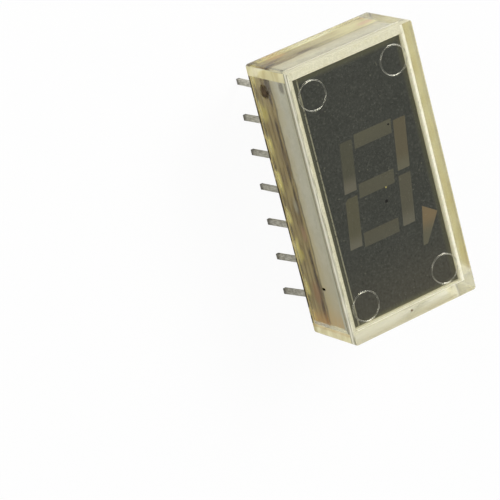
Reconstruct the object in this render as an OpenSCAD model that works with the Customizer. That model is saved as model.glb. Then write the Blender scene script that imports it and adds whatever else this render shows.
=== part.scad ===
// Seven segment display: a clear moulded cup closed by potting, with a light guide,
// a grey face mask and a circuit board inside, standing on two rows of seven leads.
// The origin is the middle of the back face, +Z points out of the lit face and +Y to
// the digit's top.

/* [Case] */
// Height of the case, from the back face to the window's outer face
case_h = 5.0; // [4.6:0.1:8]
// Thickness of the two long walls
side_wall = 0.7; // [0.4:0.05:1.2]
// Thickness of the two end walls
end_wall = 0.8; // [0.4:0.05:1.2]
// Distance from a row of leads to the long wall beside it
row_gap = 0.55; // [0.5:0.05:1.5]
// Distance from the last lead of a row to the end wall
end_gap = 1.3; // [0.7:0.05:3]
// Thickness of the window in front of the digit
window_t = 0.8; // [0.5:0.05:1.1]
// Radius of the case's upright edges
corner_r = 0.2; // [0.1:0.05:0.5]
// Air space between the window and the face mask
window_gap = 0.4; // [0.2:0.05:0.7]

/* [Ejector rings] */
// Outer diameter of the four rings on the window's inner face
ring_d = 2.1; // [1.2:0.1:2.4]
// Width of a ring's raised line
ring_line = 0.08; // [0.04:0.01:0.2]
// Height of a ring's raised line
ring_rise = 0.03; // [0.01:0.01:0.1]
// Distance from a ring's outside to the cavity's side wall
ring_side = 0.02; // [0.01:0.01:0.5]
// Distance from a lower ring's outside to the cavity's lower end wall
ring_end = 0.25; // [0.05:0.05:1]
// Distance from an upper ring's outside to the cavity's upper end wall
ring_top_end = 0.38; // [0.05:0.01:1]

/* [Leads] */
// Distance between neighbouring leads in a row
lead_pitch = 2.5; // [1.8:0.01:3]
// Distance between the two rows
row_spacing = 7.5; // [6.8:0.02:10.2]
// Thickness of the lead strip
lead_t = 0.22; // [0.2:0.02:0.4]
// How far the leads stand out behind the back face
lead_len = 4.3; // [2:0.1:6]
// Width of the wide shoulder that sits in the potting
shoulder_w = 1.2; // [0.9:0.05:1.6]
// How far the shoulder stands out before it narrows
shoulder_drop = 0.7; // [0.3:0.05:1.2]
// Height of the slope from the shoulder to the pin
shoulder_slope = 0.25; // [0.1:0.05:0.5]
// Width of the pin
pin_w = 0.4; // [0.3:0.02:0.7]
// Width of the tab that goes through the board
tab_w = 0.6; // [0.4:0.02:0.8]
// Unit in which the lean of each pin's tip is given
lean_step = 0.05; // [0:0.01:0.08]

/* [Board and potting] */
// Thickness of the potting behind the board
potting_t = 1.4; // [1:0.05:1.6]
// Thickness of the circuit board
board_t = 0.3; // [0.2:0.05:0.5]
// Thickness of the copper tracks
track_t = 0.035; // [0.02:0.005:0.07]
// Width of the copper tracks
track_w = 0.25; // [0.15:0.01:0.35]
// Copper left around each lead's slot
pad_margin = 0.2; // [0.1:0.02:0.3]
// Leg of the solder bead on each side of a lead
solder_leg = 0.3; // [0.15:0.01:0.35]
// Clearance around the board, the light guide and the mask
stack_fit = 0.05; // [0.02:0.01:0.08]

/* [Digit] */
// Height of the digit
digit_h = 7.5; // [6:0.1:9]
// Width of the digit at one height
digit_w = 5.2; // [4.8:0.1:5.6]
// Slant of the digit, in degrees
slant = 9; // [0:0.5:12]
// Width of a segment's stroke
stroke = 0.95; // [0.7:0.01:1.1]
// Gap between a bar and the strokes beside it
bar_gap = 0.18; // [0.1:0.01:0.4]
// Gap between the upper and lower strokes
split_gap = 0.34; // [0.2:0.01:0.6]
// How far the strokes stop short of the digit's top and bottom
stroke_inset = 0.2; // [0:0.01:0.5]
// Extra room at the right of the middle and bottom bars
bar_short = 0.16; // [0:0.01:0.3]
// Cut at the lower left stroke's outer top corner
corner_cut = 0.18; // [0.05:0.01:0.3]
// How far the digit's middle sits right of the case's
digit_side = 0.1; // [-0.2:0.01:0.2]
// How far the digit's middle sits above the case's
digit_rise = -0.12; // [-0.2:0.01:0.2]

/* [Decimal point] */
// Distance from the wedge's outer corner to the right edge of the light guide
point_side = 0.3; // [0.2:0.01:0.6]
// Height of the wedge's highest corner above the digit's bottom
point_rise = 0.96; // [0.4:0.01:1.2]
// Length of the wedge
point_len = 2.6; // [1.6:0.01:3]
// Width of the wedge at its wide end
point_w = 1.16; // [0.7:0.01:1.3]
// Drop of the wedge's outer corner below its inner one
point_drop = 0.75; // [0.2:0.01:0.9]
// Width of the wedge's blunt tip
point_tip = 0.35; // [0.1:0.01:0.4]
// How far the tip lies left of where the slant alone would put it
point_lean = 0.19; // [0:0.01:0.3]

/* [Face mask and light chips] */
// Thickness of the grey face mask
mask_t = 0.1; // [0.05:0.01:0.2]
// Side of a square light chip
chip_w = 0.35; // [0.25:0.01:0.45]
// Height of a light chip
chip_h = 0.2; // [0.1:0.01:0.25]
// Distance from a chip's middle to its wire pad
wire_reach = 0.5; // [0.4:0.01:0.6]
// Diameter of a bond wire
wire_d = 0.04; // [0.03:0.005:0.06]
// Room kept around a chip and its wire
chip_room = 0.1; // [0.05:0.01:0.15]

/* [Key mark] */
// Diameter of the dot that marks the first lead's corner
key_d = 1.15; // [0.6:0.05:1.5]
// Thickness of the dot's paint
key_t = 0.03; // [0.01:0.01:0.06]
// Distance from the dot's middle to the case's top end
key_end = 1.7; // [1:0.1:3]
// Height of the dot's middle above the back face
key_rise = 1.6; // [1:0.1:3]

/* [Hidden] */
$fn = 48;
LEADS_PER_ROW = 7;

// The grid of leads sets the cavity, and the walls go round it.
row_x = row_spacing / 2;
lead_first_y = lead_pitch * (LEADS_PER_ROW - 1) / 2;
cavity_w = 2 * (row_x + row_gap);
cavity_l = 2 * (lead_first_y + end_gap);
case_w = cavity_w + 2 * side_wall;
case_l = cavity_l + 2 * end_wall;
stack_w = cavity_w - 2 * stack_fit;
stack_l = cavity_l - 2 * stack_fit;
// Heights of the layers, from the back face up
z_board = potting_t;
z_copper = z_board + board_t;
z_guide = z_copper + track_t;
z_well = z_guide + chip_h + wire_reach / 2 + chip_room;
z_window = case_h - window_t;
z_face = z_window - window_gap;
z_mask = z_face - mask_t;
over = 0.5; // how far a cutting shape passes the face it cuts

// The digit's outlines are drawn upright round the origin, then each point is leant over and moved.
function leant(p) = [p[0] + p[1] * tan(slant) + digit_side, p[1] + digit_rise];
half_w = digit_w / 2;
half_h = digit_h / 2;
bar_x = half_w - stroke - bar_gap; // half length of the top bar
stroke_top = half_h - stroke_inset;
// Each outline is a list of upright corner points.
function box_outline(x0, x1, y0, y1) = [[x0, y0], [x1, y0], [x1, y1], [x0, y1]];
OUTLINE_A = box_outline(-bar_x, bar_x, half_h - stroke, half_h);
OUTLINE_B = box_outline(half_w - stroke, half_w, split_gap / 2, stroke_top);
OUTLINE_C = box_outline(half_w - stroke, half_w, -stroke_top, -split_gap / 2);
OUTLINE_D = box_outline(-bar_x, bar_x - bar_short, -half_h, -half_h + stroke);
OUTLINE_E = [
  [-half_w, -stroke_top], [stroke - half_w, -stroke_top], [stroke - half_w, -split_gap / 2],
  [corner_cut - half_w, -split_gap / 2], [-half_w, -split_gap / 2 - corner_cut],
];
OUTLINE_F = box_outline(-half_w, stroke - half_w, split_gap / 2, stroke_top);
OUTLINE_G = box_outline(-bar_x, bar_x - bar_short, -stroke / 2, stroke / 2);
point_top = point_rise - half_h;
point_x = stack_w / 2 - point_side - point_w - leant([0, point_top - point_drop])[0];
OUTLINE_POINT = [
  [point_x, point_top],
  [point_x + point_w, point_top - point_drop],
  [point_x - point_lean + point_tip, point_top - point_len],
  [point_x - point_lean, point_top - point_len],
];
OUTLINES = [OUTLINE_A, OUTLINE_B, OUTLINE_C, OUTLINE_D, OUTLINE_E, OUTLINE_F, OUTLINE_G, OUTLINE_POINT];
// The way each segment's bond wire leaves its chip
WIRE_WAYS = [[0, 1], [1, 0], [1, 0], [0, -1], [-1, 0], [-1, 0], [-1, 0], [0, -1]];
POINT = 7; // the decimal point's place in the lists above

// The middle of an outline, where its chip sits
function mean_of(points) = [for (axis = [0, 1]) sum_of(points, axis, 0) / len(points)];
function sum_of(points, axis, i) = i == len(points) ? 0 : points[i][axis] + sum_of(points, axis, i + 1);
CHIPS = [for (outline = OUTLINES) leant(mean_of(outline))];
WIRE_PADS = [for (i = [0:POINT]) CHIPS[i] + wire_reach * WIRE_WAYS[i]];

// The leads count down the left row, then up the right one.
function lead_y(n) = n <= LEADS_PER_ROW
  ? lead_first_y - (n - 1) * lead_pitch
  : (n - LEADS_PER_ROW - 1) * lead_pitch - lead_first_y;
function lead_place(n) = [n <= LEADS_PER_ROW ? -row_x : row_x, lead_y(n)];
// Each pin is bent a little by handling: the sideways lean of its tip, in steps of lean_step
LEANS = [
  [6, -4], [2, -4], [0, -3], [0, -3], [-3, -3], [-3, -4], [-6, -4],
  [-3, 0], [-1, -2], [0, 0], [4, -2], [6, 2], [7, -4], [0, -4],
];
shoulder_end = shoulder_drop + shoulder_slope;

// The lead that each segment's wire pad is joined to, and the common lead
WIRED_LEADS = [13, 12, 10, 6, 5, 3, 4, 9];
COMMON_LEAD = 11;

module block(w, l, z0, z1) {
  translate([-w / 2, -l / 2, z0]) cube([w, l, z1 - z0]);
}

module rounded_block(w, l, h, r) {
  linear_extrude(h) {
    square([w - 2 * r, l], center = true);
    square([w, l - 2 * r], center = true);
    for (sx = [-1, 1], sy = [-1, 1]) translate([sx * (w / 2 - r), sy * (l / 2 - r)]) circle(r = r);
  }
}

module outline_prism(i, z0, z1) {
  translate([0, 0, z0]) linear_extrude(z1 - z0) polygon([for (p = OUTLINES[i]) leant(p)]);
}

module ejector_ring() {
  translate([0, 0, z_window - ring_rise]) linear_extrude(ring_rise + over) difference() {
    circle(d = ring_d);
    circle(d = ring_d - 2 * ring_line);
  }
}

// One solid: the cup with its window, walls and ejector rings
module case() {
  ring_x = cavity_w / 2 - ring_side - ring_d / 2;
  ring_reach = (cavity_l - ring_d) / 2;
  color([0.86, 0.85, 0.72, 0.35]) union() {
    difference() {
      rounded_block(case_w, case_l, case_h, corner_r);
      block(cavity_w, cavity_l, -over, z_window);
    }
    intersection() {
      for (x = [-ring_x, ring_x], y = [ring_end - ring_reach, ring_reach - ring_top_end])
        translate([x, y]) ejector_ring();
      block(cavity_w, cavity_l, 0, z_window + window_t / 2);
    }
  }
}

module face_mask() {
  color([0.27, 0.27, 0.25]) difference() {
    block(stack_w, stack_l, z_mask, z_face);
    for (i = [0:POINT]) outline_prism(i, z_mask - over, z_face + over);
  }
}

// The room for one chip and its wire, along the way the wire leaves
module chip_chamber(i) {
  room_w = chip_w + 2 * chip_room;
  translate([CHIPS[i][0], CHIPS[i][1], z_guide - over])
    rotate(atan2(WIRE_WAYS[i][1], WIRE_WAYS[i][0]))
      translate([-room_w / 2, -room_w / 2, 0])
        cube([wire_reach + track_w + room_w / 2, room_w, z_well - z_guide + over]);
}

module light_guide() {
  color([0.72, 0.71, 0.66]) difference() {
    block(stack_w, stack_l, z_guide, z_mask);
    for (i = [0:POINT]) {
      outline_prism(i, z_well, z_mask + over);
      chip_chamber(i);
    }
  }
}

module segment(i) {
  color(i == 1 || i == POINT ? [0.48, 0.4, 0.33] : [0.4, 0.39, 0.35]) outline_prism(i, z_well, z_face);
}

module led_chip(i) {
  color([0.75, 0.55, 0.25])
    translate([CHIPS[i][0] - chip_w / 2, CHIPS[i][1] - chip_w / 2, z_guide])
      cube([chip_w, chip_w, chip_h]);
}

// A half loop that starts on the chip and drops to the wire pad
module bond_wire(i) {
  loop_r = wire_reach / 2;
  translate([CHIPS[i][0], CHIPS[i][1], z_guide + chip_h])
    rotate(atan2(WIRE_WAYS[i][1], WIRE_WAYS[i][0])) {
      translate([loop_r, 0, 0]) rotate([90, 0, 0])
        rotate_extrude(angle = 180) translate([loop_r, 0]) circle(d = wire_d);
      translate([wire_reach, 0, -chip_h]) cylinder(h = chip_h, d = wire_d);
    }
}

module bond_wires() {
  color([0.85, 0.68, 0.3]) for (i = [0:POINT]) bond_wire(i);
}

module lead_slots(z0, z1) {
  for (n = [1:2 * LEADS_PER_ROW]) translate(lead_place(n)) block(lead_t, tab_w, z0, z1);
}

module circuit_board() {
  color([0.8, 0.76, 0.58]) difference() {
    block(stack_w, stack_l, z_board, z_copper);
    lead_slots(z_board - over, z_copper + over);
  }
}

module track(p, q) {
  way = q - p;
  translate(p) {
    rotate(atan2(way[1], way[0])) translate([0, -track_w / 2]) square([norm(way), track_w]);
    circle(d = track_w);
  }
  translate(q) circle(d = track_w);
}

module tracks(points) {
  for (i = [1:len(points) - 1]) track(points[i - 1], points[i]);
}

// A track that first runs straight on along the wire's way, then across to its lead
function to_lead(pad, way, lead) = way[0] == 0
  ? [pad, [pad[0], lead[1]], lead]
  : [pad, lead];

// The common track joins every chip's underside, with no crossing of the others.
module common_track() {
  spine_x = CHIPS[0][0];
  common = lead_place(COMMON_LEAD);
  tracks([common, [CHIPS[2][0], common[1]], CHIPS[6]]);
  tracks([[CHIPS[1][0], common[1]], CHIPS[1]]);
  tracks([[CHIPS[2][0], common[1]], CHIPS[2], [CHIPS[2][0], CHIPS[POINT][1]], CHIPS[POINT]]);
  tracks([[spine_x, common[1]], CHIPS[0], [CHIPS[5][0], CHIPS[0][1]], CHIPS[5]]);
  tracks([[spine_x, common[1]], [spine_x, CHIPS[3][1]], CHIPS[3], [CHIPS[4][0], CHIPS[3][1]], CHIPS[4]]);
}

module board_tracks() {
  color([0.72, 0.45, 0.2]) difference() {
    translate([0, 0, z_copper]) linear_extrude(track_t) {
      common_track();
      for (i = [0:POINT]) {
        translate(CHIPS[i]) square(chip_w + 2 * track_t, center = true);
        tracks(to_lead(WIRE_PADS[i], WIRE_WAYS[i], lead_place(WIRED_LEADS[i])));
      }
      for (n = [1:2 * LEADS_PER_ROW]) translate(lead_place(n))
        square([lead_t + 2 * pad_margin, tab_w + 2 * pad_margin], center = true);
    }
    lead_slots(z_copper - over, z_guide + over);
  }
}

// The wide plate of a lead, from the tab's end to where the pin starts
module lead_plate() {
  rotate([90, 0, 90]) linear_extrude(lead_t, center = true) polygon([
    [-tab_w / 2, z_guide], [-tab_w / 2, z_board], [-shoulder_w / 2, z_board],
    [-shoulder_w / 2, -shoulder_drop], [-pin_w / 2, -shoulder_end],
    [pin_w / 2, -shoulder_end], [shoulder_w / 2, -shoulder_drop],
    [shoulder_w / 2, z_board], [tab_w / 2, z_board], [tab_w / 2, z_guide],
  ]);
}

// The pin, bent over by its lean and cut level at its tip
module lead_pin(lean) {
  pin_len = lead_len - shoulder_end;
  difference() {
    translate([0, 0, -shoulder_end])
      rotate([-atan2(-lean[1], pin_len), atan2(-lean[0], pin_len), 0])
        translate([-lead_t / 2, -pin_w / 2, -pin_len - over])
          cube([lead_t, pin_w, pin_len + over + shoulder_slope / 2]);
    translate([-over - pin_len, -over - pin_len, -lead_len - 2 * over])
      cube([2 * (pin_len + over), 2 * (pin_len + over), 2 * over]);
  }
}

module lead(n) {
  color([0.6, 0.58, 0.53]) translate(lead_place(n)) union() {
    lead_plate();
    lead_pin(LEANS[n - 1] * lean_step);
  }
}

// A bead of solder along each broad face of a shoulder, under the board
module solder_beads() {
  for (n = [1:2 * LEADS_PER_ROW], side = [-1, 1])
    translate(lead_place(n)) translate([side * lead_t / 2, 0, z_board]) rotate([90, 0, 0])
      linear_extrude(shoulder_w, center = true)
        polygon([[0, 0], [side * solder_leg, 0], [0, -solder_leg]]);
}

module solder_joints() {
  color([0.42, 0.36, 0.24]) solder_beads();
}

module back_potting() {
  color([0.83, 0.84, 0.68, 0.6]) difference() {
    block(cavity_w, cavity_l, 0, z_board);
    for (n = [1:2 * LEADS_PER_ROW]) translate(lead_place(n)) block(lead_t, shoulder_w, -over, z_board + over);
    solder_beads();
  }
}

module key_mark() {
  color([0.2, 0.13, 0.08]) translate([-case_w / 2, case_l / 2 - key_end, key_rise])
    rotate([0, -90, 0]) cylinder(h = key_t, d = key_d);
}

case();
face_mask();
light_guide();
segment(0);  // segment_a
segment(1);  // segment_b
segment(2);  // segment_c
segment(3);  // segment_d
segment(4);  // segment_e
segment(5);  // segment_f
segment(6);  // segment_g
segment(POINT);  // decimal_point
led_chip(0);  // led_chip_a
led_chip(1);  // led_chip_b
led_chip(2);  // led_chip_c
led_chip(3);  // led_chip_d
led_chip(4);  // led_chip_e
led_chip(5);  // led_chip_f
led_chip(6);  // led_chip_g
led_chip(POINT);  // led_chip_point
bond_wires();
circuit_board();
board_tracks();
solder_joints();
back_potting();
lead(1);  // lead_1
lead(2);  // lead_2
lead(3);  // lead_3
lead(4);  // lead_4
lead(5);  // lead_5
lead(6);  // lead_6
lead(7);  // lead_7
lead(8);  // lead_8
lead(9);  // lead_9
lead(10);  // lead_10
lead(11);  // lead_11
lead(12);  // lead_12
lead(13);  // lead_13
lead(14);  // lead_14
key_mark();
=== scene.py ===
# %% [markdown]
# # A seven segment display in clear resin
#
# The display is a clear moulded cup, closed at the back by potting. Inside it are a pale
# light guide, a dark grey mask with the segments set into it, a circuit board and fourteen
# leads. The solids come ready made and stay where they are. This lesson gives each of them
# its finish, and models what the solids leave out: the clear body with its bent light, the
# stained resin round the leads and the dust.

import math
import random

import bpy
from mathutils import Matrix, Vector


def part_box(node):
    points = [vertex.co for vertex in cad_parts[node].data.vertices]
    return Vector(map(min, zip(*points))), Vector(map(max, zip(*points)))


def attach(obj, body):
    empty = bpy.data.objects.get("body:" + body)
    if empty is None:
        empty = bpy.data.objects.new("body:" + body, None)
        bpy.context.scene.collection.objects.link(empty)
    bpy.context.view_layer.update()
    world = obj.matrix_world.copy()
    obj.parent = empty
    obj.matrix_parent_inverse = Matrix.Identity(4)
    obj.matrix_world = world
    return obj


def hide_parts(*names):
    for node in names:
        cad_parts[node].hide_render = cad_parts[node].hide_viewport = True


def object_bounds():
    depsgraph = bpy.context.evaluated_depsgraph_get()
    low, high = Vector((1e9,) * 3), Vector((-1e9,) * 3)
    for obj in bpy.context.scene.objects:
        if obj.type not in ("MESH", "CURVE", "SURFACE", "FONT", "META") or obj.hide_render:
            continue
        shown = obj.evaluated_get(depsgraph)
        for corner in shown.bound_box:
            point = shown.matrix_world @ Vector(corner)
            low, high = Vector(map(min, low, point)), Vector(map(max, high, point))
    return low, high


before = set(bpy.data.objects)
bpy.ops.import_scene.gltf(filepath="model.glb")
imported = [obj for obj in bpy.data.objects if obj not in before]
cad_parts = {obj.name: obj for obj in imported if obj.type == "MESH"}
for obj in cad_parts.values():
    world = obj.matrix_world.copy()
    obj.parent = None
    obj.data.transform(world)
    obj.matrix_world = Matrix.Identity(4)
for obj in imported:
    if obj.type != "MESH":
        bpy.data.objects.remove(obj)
cad_low, cad_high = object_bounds()
MM = 0.001
print("the solids fill", [round((h - l) / MM, 2) for l, h in zip(cad_low, cad_high)], "mm")

# %% [markdown]
# ## The camera
#
# Small parts are shot from far away with a long lens, so that their edges stay nearly
# parallel. The camera is placed as one would say it in a studio: where it aims, from which
# side and how high, how far off, and how much it is rolled.

# %% Camera
case_low, case_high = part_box("case")
face_middle = Vector((0, 0, case_high.z))
AIM_BESIDE = -10.77 * MM  # the aim is left of the display, which stands right of the middle
AIM_BELOW = -0.29 * MM
CLIP_NEAR, CLIP_FAR = 0.05, 20  # the nearest and farthest that is seen, in distances to the part


def way_towards(azimuth, elevation):
    """A direction from the part. Azimuth 0 is the foot's side and 90 the right; both are in degrees."""
    a, e = math.radians(azimuth), math.radians(elevation)
    return Vector((math.sin(a) * math.cos(e), -math.cos(a) * math.cos(e), math.sin(e)))


def place_camera(aim, azimuth, elevation, roll, distance, lens):
    """Puts the camera on a sphere round aim, turned about its own axis by roll."""
    back = way_towards(azimuth, elevation)
    level = back.to_track_quat("Z", "Y").to_matrix()
    turn = Matrix.Rotation(math.radians(roll), 3, "Z")
    bpy.ops.object.camera_add()
    camera = bpy.context.object
    camera.name = "photo_camera"
    camera.matrix_world = Matrix.Translation(aim + back * distance) @ (level @ turn).to_4x4()
    camera.data.lens = lens
    camera.data.clip_start = distance * CLIP_NEAR
    camera.data.clip_end = distance * CLIP_FAR
    return camera


camera = place_camera(
    aim=face_middle + Vector((AIM_BESIDE, AIM_BELOW, 0)),
    azimuth=-126.65, elevation=56.51, roll=106.945, distance=213.1 * MM, lens=241.0,
)
bpy.context.scene.camera = camera
bpy.context.scene.view_settings.view_transform = "Standard"
print("camera at", [round(x / MM, 1) for x in camera.location], "mm")

# %% [markdown]
# ## Sums on shader sockets
#
# A finish is a graph of nodes: this much brown where that noise is high, and so on. Built by
# hand in the editor it takes a Math node for each sum. Here one small class wraps a socket,
# and plain arithmetic on it adds those nodes, so a finish can be read like a formula.

# %% A socket that can be reckoned with


class Value:
    """A socket that can be added, multiplied and compared like a number."""

    def __init__(self, graph, socket):
        self.graph, self.socket = graph, socket

    def _math(self, operation, *values):
        return self.graph.node("ShaderNodeMath", dict(operation=operation), *values)[0]

    def __add__(self, other):
        return self._math("ADD", self, other)

    def __radd__(self, other):
        return self._math("ADD", other, self)

    def __sub__(self, other):
        return self._math("SUBTRACT", self, other)

    def __rsub__(self, other):
        return self._math("SUBTRACT", other, self)

    def __mul__(self, other):
        return self._math("MULTIPLY", self, other)

    def __rmul__(self, other):
        return self._math("MULTIPLY", other, self)

    def below(self, limit):
        return self._math("LESS_THAN", self, limit)

    def above(self, limit):
        return self._math("GREATER_THAN", self, limit)

    def least(self, other):
        return self._math("MINIMUM", self, other)

    def size(self):
        return self._math("ABSOLUTE", self)

    def cosine(self):
        return self._math("COSINE", self)

    def root(self):
        return self._math("SQRT", self)

    def step(self, start, end):
        """0 before start and 1 after end, with a soft run between them."""
        ramp = self.graph.node(
            "ShaderNodeMapRange", dict(interpolation_type="SMOOTHSTEP", clamp=True), self, start, end
        )
        return ramp[0]


# %% [markdown]
# ## The nodes of a finish
#
# Every other node comes from one method, which takes the node's kind, its settings and what
# goes into its sockets. The methods after it are the few that nearly each finish here needs:
# where a point lies, noise in grains or in streaks, two colours mixed, and the shader itself.

# %% A finish's graph


class Graph:
    """A material's nodes. node() adds one and returns its outputs."""

    def __init__(self, owner):
        owner.use_nodes = True
        self.tree = owner.node_tree
        self.tree.nodes.clear()

    def node(self, kind, settings=None, *values, **named):
        made = self.tree.nodes.new(kind)
        for key, value in (settings or {}).items():
            setattr(made, key, value)
        for key, value in [*enumerate(values), *named.items()]:
            socket = made.inputs[key if isinstance(key, int) else key.replace("_", " ")]
            if isinstance(value, Value):
                self.tree.links.new(value.socket, socket)
            elif value is not None:
                socket.default_value = value
        return [Value(self, s) for s in made.outputs]

    def ray_is(self, kind):
        """1 for one kind of ray, such as Camera or Shadow, and 0 for the others."""
        path = self.tree.nodes.new("ShaderNodeLightPath")
        return Value(self, path.outputs[f"Is {kind} Ray"])

    def spot(self):
        """Where a point lies, in metres, in the part's own frame."""
        return self.node("ShaderNodeTexCoord")[3]

    def axes(self, spot):
        """The same as three values, x, y and z."""
        return self.node("ShaderNodeSeparateXYZ", None, spot)

    def drawn_out(self, spot, along=0.3):
        """The same place, squeezed in x and y, so that a noise on it runs in streaks along a wall."""
        return self.node("ShaderNodeMapping", None, Vector=spot, Scale=(along, along, 1.0))[0]

    def noise(self, spot, grain, detail=2.0):
        """Noise from 0 to 1 with spots about grain metres across."""
        return self.node("ShaderNodeTexNoise", None, Vector=spot, Scale=1 / grain, Detail=detail)[0]

    def blend(self, share, first, second):
        """Two colours mixed by a share from 0 to 1."""
        mix = self.tree.nodes.new("ShaderNodeMix")
        mix.data_type = "RGBA"
        for socket, value in zip((mix.inputs[0], mix.inputs[6], mix.inputs[7]), (share, first, second)):
            if isinstance(value, Value):
                self.tree.links.new(value.socket, socket)
            else:
                socket.default_value = value if isinstance(value, (int, float)) else (*value[:3], 1)
        return Value(self, mix.outputs[2])

    def bump(self, height, distance):
        """A skin that rises and falls with height, by distance metres at the most."""
        return self.node("ShaderNodeBump", None, Height=height, Distance=distance, Strength=1.0)[0]

    def either(self, share, first, second):
        """Two shaders mixed by a share from 0 to 1."""
        return self.node("ShaderNodeMixShader", None, share, first, second)[0]

    def principled(self, **inputs):
        """A Principled shader."""
        return self.node("ShaderNodeBsdfPrincipled", None, **inputs)[0]

    def finish(self, shader):
        """Joins a shader to the material's output."""
        self.node("ShaderNodeOutputMaterial", None, Surface=shader)

    def surface(self, **inputs):
        """A Principled shader joined to the output."""
        self.finish(self.principled(**inputs))


# %% [markdown]
# ## Colours, finishes and where they go
#
# Colours are written as a paint chart gives them, from 0 to 255, and turned into linear
# light for Blender. Many small things here have one kind of finish, two colours that drift
# into each other in spots, so that kind is written once. Others are built up like paint, one
# tone laid over the next.

# %% Colours and simple finishes
SHOWN = 255  # the brightest value on the paint chart's scale


def rgb(red, green, blue):
    """A colour as a screen shows it turned into linear light, by the sRGB curve."""
    def linear(c):
        c /= SHOWN
        return c / 12.92 if c <= 0.04045 else ((c + 0.055) / 1.055) ** 2.4
    return (linear(red), linear(green), linear(blue), 1.0)


WHITE = rgb(255, 255, 255)


def overlaid(graph, tone, *layers):
    """A colour with others laid over it in turn, each by its share from 0 to 1."""
    for share, colour in layers:
        tone = graph.blend(share, tone, rgb(*colour))
    return tone


def new_material(name):
    made = bpy.data.materials.new(name)
    return made, Graph(made)


def two_tones(name, first, second, grain, detail=3.0, run=(0.3, 0.7), **finish):
    """A finish that drifts between two colours in spots about grain metres across."""
    material, graph = new_material(name)
    cloud = graph.noise(graph.spot(), grain, detail=detail)
    graph.surface(Base_Color=graph.blend(cloud.step(*run), rgb(*first), rgb(*second)), **finish)
    return material


def dress(node, material):
    """Gives a solid of the frame its material."""
    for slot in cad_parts[node].material_slots:
        slot.material = material


# %% [markdown]
# ## The studio
#
# The part stands on a white table under soft light. What the camera sees behind it is pure
# white, and so is what shines through the clear resin. The light itself is plainer than
# that, or the pale parts would wash out. The Light Path node tells the two kinds of ray
# apart, so the room and the table are each a mix of a plain and a glowing shader.

# %% World, table and lamps
CEILING = 0.28  # how bright the room is in reflections and as fill light
TABLE_SIZE = 0.5  # in metres, as are the distance and the sizes of the lamps
TABLE_CLOTH = (0.86, 0.86, 0.85, 1)
TABLE_LIFT = 0.94  # how far the table is pushed to pure white where it is looked at directly
TABLE_LIFT_THROUGH = 0.75  # and where it is seen through the resin, so that it keeps its shade there
LAMP_DISTANCE = 0.40


def white_room():
    world = bpy.data.worlds.new("white_room")
    bpy.context.scene.world = world
    graph = Graph(world)
    light = graph.node("ShaderNodeBackground", None, Color=WHITE, Strength=CEILING)[0]
    shown = graph.node("ShaderNodeBackground", None, Color=WHITE, Strength=1.0)[0]
    both = graph.either(graph.ray_is("Camera"), light, shown)
    graph.node("ShaderNodeOutputWorld", None, Surface=both)


def table():
    bpy.ops.mesh.primitive_plane_add(size=TABLE_SIZE, location=(0, 0, cad_low.z))
    top = bpy.context.object
    top.name = "table"
    material, graph = new_material("white_table")
    looked_at = graph.ray_is("Camera") * TABLE_LIFT
    through = graph.ray_is("Transmission") * TABLE_LIFT_THROUGH
    cloth = graph.node("ShaderNodeBsdfDiffuse", None, Color=TABLE_CLOTH)[0]
    shown = graph.node("ShaderNodeEmission", None, Color=WHITE, Strength=1.0)[0]
    graph.finish(graph.either((looked_at + through).least(1.0), cloth, shown))
    top.data.materials.append(material)


def soft_lamp(name, azimuth, elevation, size, watts):
    """A square lamp that faces the part."""
    way = way_towards(azimuth, elevation)
    bpy.ops.object.light_add(type="AREA", location=way * LAMP_DISTANCE)
    lamp = bpy.context.object
    lamp.name = name
    lamp.rotation_euler = way.to_track_quat("Z", "Y").to_euler()
    lamp.data.size = size
    lamp.data.energy = watts


white_room()
table()
soft_lamp("key_lamp", azimuth=135, elevation=46, size=0.22, watts=1.15)
soft_lamp("fill_lamp", azimuth=-120, elevation=35, size=0.25, watts=0.6)
soft_lamp("foot_lamp", azimuth=-15, elevation=22, size=0.25, watts=0.3)
print("room strength", CEILING)

# %% [markdown]
# ## The clear body
#
# On the real display the cup is moulded and the potting is poured, but both bend light
# alike, so light doesn't see where they meet. Two touching solids of glass would show a
# false seam there. So one solid of clear resin stands for both, with the board, the light
# guide and the leads sunk into it, and with one hollow: the air behind the window. The
# hollow is a shell inside the block, with its faces turned the other way.
#
# Everything that the body is shaped from comes from the boxes of the solids round it, and
# from a few sizes of its own.

# %% Sizes of the clear body
potting_low, potting_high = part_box("back_potting")
mask_low, mask_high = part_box("face_mask")
WINDOW_THICKNESS = 0.8 * MM
window_inside = case_high.z - WINDOW_THICKNESS
EDGE_ROUND = 0.06 * MM  # the hair of a bevel on the edges of the window and the back
UPRIGHT_ROUND = 0.2 * MM
POTTING_SINK = 0.05 * MM  # how deep the potting has sunk in the cup
MENISCUS = 0.14 * MM  # the slope where it climbs the wall again
SCUFF_LOW = case_high.z - 0.48 * MM  # above this the left side is rubbed matt
SCUFF_END = potting_high.y + 0.04 * MM  # and past this too, at the head and at the foot
RIM_HIGH = 0.34 * MM  # up to here flux covers the left side
HOLLOW_ROUND = 0.04 * MM
HOLLOW_SIDE = 0.15 * MM  # how far the hollow reaches past the potting, at the left
HOLLOW_TOP = 0.06 * MM  # and at the head
print("air between window and mask", round((window_inside - mask_high.z) / MM, 2), "mm")

# %% [markdown]
# ### Working by hand, in code
#
# In the editor one clicks what the next tool should act on. In code the same is done by a
# test on the corners of each edge or face. These helpers select, box in and clear up, so
# that the cells after them read like the steps one would take by hand.

# %% Helpers for modelling by hand
def clear_selection():
    """Leaves edit mode and selects nothing, so that the next operator acts on its own object only."""
    if bpy.context.object and bpy.context.object.mode != "OBJECT":
        bpy.ops.object.mode_set(mode="OBJECT")
    bpy.ops.object.select_all(action="DESELECT")


def select_only(piece, *others):
    """Selects a piece, and others with it, and makes it the active one."""
    clear_selection()
    for one in (piece, *others):
        one.select_set(True)
    bpy.context.view_layer.objects.active = piece


def delete_pieces(*helpers):
    select_only(*helpers)
    bpy.ops.object.delete()


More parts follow.
